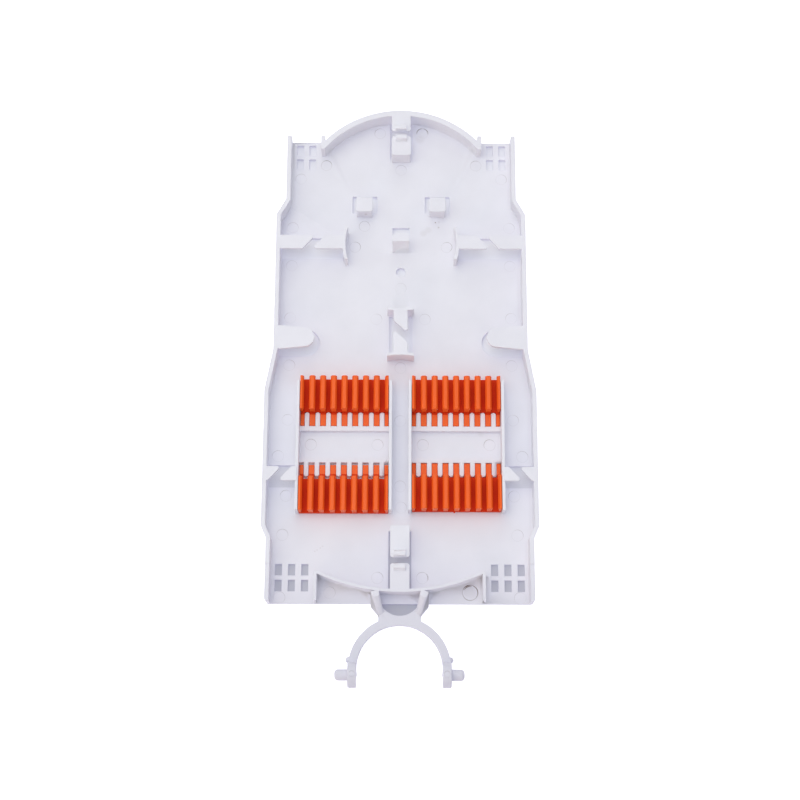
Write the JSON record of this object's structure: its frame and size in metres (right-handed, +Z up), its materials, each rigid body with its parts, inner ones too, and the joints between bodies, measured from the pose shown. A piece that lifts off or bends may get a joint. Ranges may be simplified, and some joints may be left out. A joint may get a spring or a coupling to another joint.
{
  "type": "fiber splice tray",
  "caption": "Flat white fibre splice tray with a forked clip-in hinge, fibre guides and clips, and orange comb holders for splice sleeves.",
  "frame": {"origin": "middle of the bounding box, on the tray's underside", "axes": "+X across the tray to the right as the arched end points away, +Y along the tray from the hinge fork to the arched end, +Z up out of the open side"},
  "size_m": [0.121, 0.2662, 0.0123],
  "materials": {
    "tray_plastic": "fine satin moulding, white with a faint cool tint",
    "holder_plastic": "satin moulding, opaque orange"
  },
  "bodies": {
    "root": {"tray_body": "tray_plastic", "splice_holder_upper_left": "holder_plastic", "splice_holder_upper_right": "holder_plastic", "splice_holder_lower_left": "holder_plastic", "splice_holder_lower_right": "holder_plastic"}
  },
  "joints": []
}
